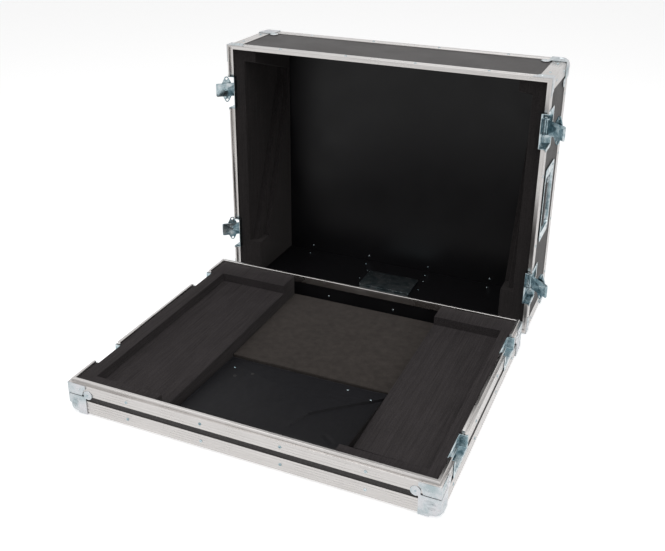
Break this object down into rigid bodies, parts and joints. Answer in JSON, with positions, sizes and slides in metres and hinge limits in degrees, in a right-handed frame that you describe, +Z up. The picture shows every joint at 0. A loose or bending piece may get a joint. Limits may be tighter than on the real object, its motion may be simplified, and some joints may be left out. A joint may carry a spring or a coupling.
{
  "type": "mixer flight case",
  "caption": "Road case for a mixing desk, open in two halves: a foam-fitted tray lying flat and a deep half standing behind it, with edge extrusions, ball corners, latches and sprung handles.",
  "frame": {"origin": "on the floor, under the middle of the box around both halves", "axes": "+Z up; +Y from the tray towards the standing deep half; +X to the right as the open case is faced"},
  "size_m": [0.956, 0.9984, 0.694],
  "materials": {
    "black_ply": "matte",
    "extrusion": "satin",
    "zinc_plate": "satin",
    "charcoal_foam": "matte",
    "brown_foam": "matte",
    "pocket_cloth": "satin",
    "grip_rubber": "matte"
  },
  "bodies": {
    "tray": {"tray_floor": "black_ply", "tray_wall_front": "black_ply", "tray_wall_rear": "black_ply", "tray_wall_left": "black_ply", "tray_wall_right": "black_ply", "tray_edge_frame": "extrusion", "tray_rail_front": "extrusion", "tray_rail_rear": "extrusion", "tray_rail_left": "extrusion", "tray_rail_right": "extrusion", "tray_corner_front_left": "zinc_plate", "tray_corner_front_right": "zinc_plate", "tray_corner_rear_left": "zinc_plate", "tray_corner_rear_right": "zinc_plate", "keeper_front_left": "zinc_plate", "keeper_front_right": "zinc_plate", "keeper_rear_left": "zinc_plate", "keeper_rear_right": "zinc_plate", "tray_foam_left": "charcoal_foam", "tray_foam_right": "charcoal_foam", "tray_pad": "brown_foam", "cable_pocket": "pocket_cloth"},
    "lid": {"lid_back": "black_ply", "lid_wall_top": "black_ply", "lid_wall_bottom": "black_ply", "lid_wall_left": "black_ply", "lid_wall_right": "black_ply", "lid_edge_frame": "extrusion", "lid_edge_bottom_left": "extrusion", "lid_edge_bottom_right": "extrusion", "lid_edge_top_left": "extrusion", "lid_edge_top_right": "extrusion", "lid_rail_top": "extrusion", "lid_rail_bottom": "extrusion", "lid_rail_left": "extrusion", "lid_rail_right": "extrusion", "lid_corner_bottom_left": "zinc_plate", "lid_corner_bottom_right": "zinc_plate", "lid_corner_top_left": "zinc_plate", "lid_corner_top_right": "zinc_plate", "lid_foam_left": "charcoal_foam", "lid_foam_right": "charcoal_foam", "latch_dish_lower_left": "zinc_plate", "latch_dish_lower_right": "zinc_plate", "latch_dish_upper_left": "zinc_plate", "latch_dish_upper_right": "zinc_plate", "handle_dish_left": "zinc_plate", "handle_dish_right": "zinc_plate", "handle_dish_bottom": "zinc_plate"},
    "hook_lower_left": {"latch_hook_lower_left": "zinc_plate"},
    "hook_lower_right": {"latch_hook_lower_right": "zinc_plate"},
    "hook_upper_left": {"latch_hook_upper_left": "zinc_plate"},
    "hook_upper_right": {"latch_hook_upper_right": "zinc_plate"},
    "butterfly_lower_left": {"latch_butterfly_lower_left": "zinc_plate"},
    "butterfly_lower_right": {"latch_butterfly_lower_right": "zinc_plate"},
    "butterfly_upper_left": {"latch_butterfly_upper_left": "zinc_plate"},
    "butterfly_upper_right": {"latch_butterfly_upper_right": "zinc_plate"},
    "bail_left": {"handle_bail_left": "grip_rubber"},
    "bail_right": {"handle_bail_right": "grip_rubber"},
    "bail_bottom": {"handle_bail_bottom": "grip_rubber"}
  },
  "joints": [
    {"name": "lid_close", "type": "hinge", "parent": "tray", "child": "lid", "pos_m": [0, 0.1898, 0.005], "axis": [1, 0, 0], "range_deg": [0, 90]},
    {"name": "hook_swing_lower_left", "type": "hinge", "parent": "lid", "child": "hook_lower_left", "pos_m": [-0.426, 0.3102, 0.136], "axis": [0, 0, -1], "range_deg": [-50, 50]},
    {"name": "hook_swing_lower_right", "type": "hinge", "parent": "lid", "child": "hook_lower_right", "pos_m": [0.426, 0.3102, 0.136], "axis": [0, 0, 1], "range_deg": [-50, 50]},
    {"name": "hook_swing_upper_left", "type": "hinge", "parent": "lid", "child": "hook_upper_left", "pos_m": [-0.426, 0.3102, 0.558], "axis": [0, 0, -1], "range_deg": [-50, 50]},
    {"name": "hook_swing_upper_right", "type": "hinge", "parent": "lid", "child": "hook_upper_right", "pos_m": [0.426, 0.3102, 0.558], "axis": [0, 0, 1], "range_deg": [-50, 50]},
    {"name": "butterfly_turn_lower_left", "type": "hinge", "parent": "hook_lower_left", "child": "butterfly_lower_left", "pos_m": [-0.45358, 0.28706, 0.136], "axis": [-0.6428, 0.766, 0], "range_deg": [0, 180]},
    {"name": "butterfly_turn_lower_right", "type": "hinge", "parent": "hook_lower_right", "child": "butterfly_lower_right", "pos_m": [0.45358, 0.28706, 0.136], "axis": [0.6428, 0.766, 0], "range_deg": [0, 180]},
    {"name": "butterfly_turn_upper_left", "type": "hinge", "parent": "hook_upper_left", "child": "butterfly_upper_left", "pos_m": [-0.45358, 0.28706, 0.558], "axis": [-0.6428, 0.766, 0], "range_deg": [0, 180]},
    {"name": "butterfly_turn_upper_right", "type": "hinge", "parent": "hook_upper_right", "child": "butterfly_upper_right", "pos_m": [0.45358, 0.28706, 0.558], "axis": [0.6428, 0.766, 0], "range_deg": [0, 180]},
    {"name": "bail_swing_left", "type": "hinge", "parent": "lid", "child": "bail_left", "pos_m": [-0.427, 0.4012, 0.347], "axis": [0, 0, -1], "range_deg": [0, 90], "stiffness_Nm_per_rad": 0.35, "springref_deg": -20.05},
    {"name": "bail_swing_right", "type": "hinge", "parent": "lid", "child": "bail_right", "pos_m": [0.427, 0.4012, 0.347], "axis": [0, 0, 1], "range_deg": [0, 90], "stiffness_Nm_per_rad": 0.35, "springref_deg": -20.05},
    {"name": "bail_swing_bottom", "type": "hinge", "parent": "lid", "child": "bail_bottom", "pos_m": [0.014, 0.4012, 0.013], "axis": [1, 0, 0], "range_deg": [0, 90], "stiffness_Nm_per_rad": 0.35, "springref_deg": -20.05}
  ]
}
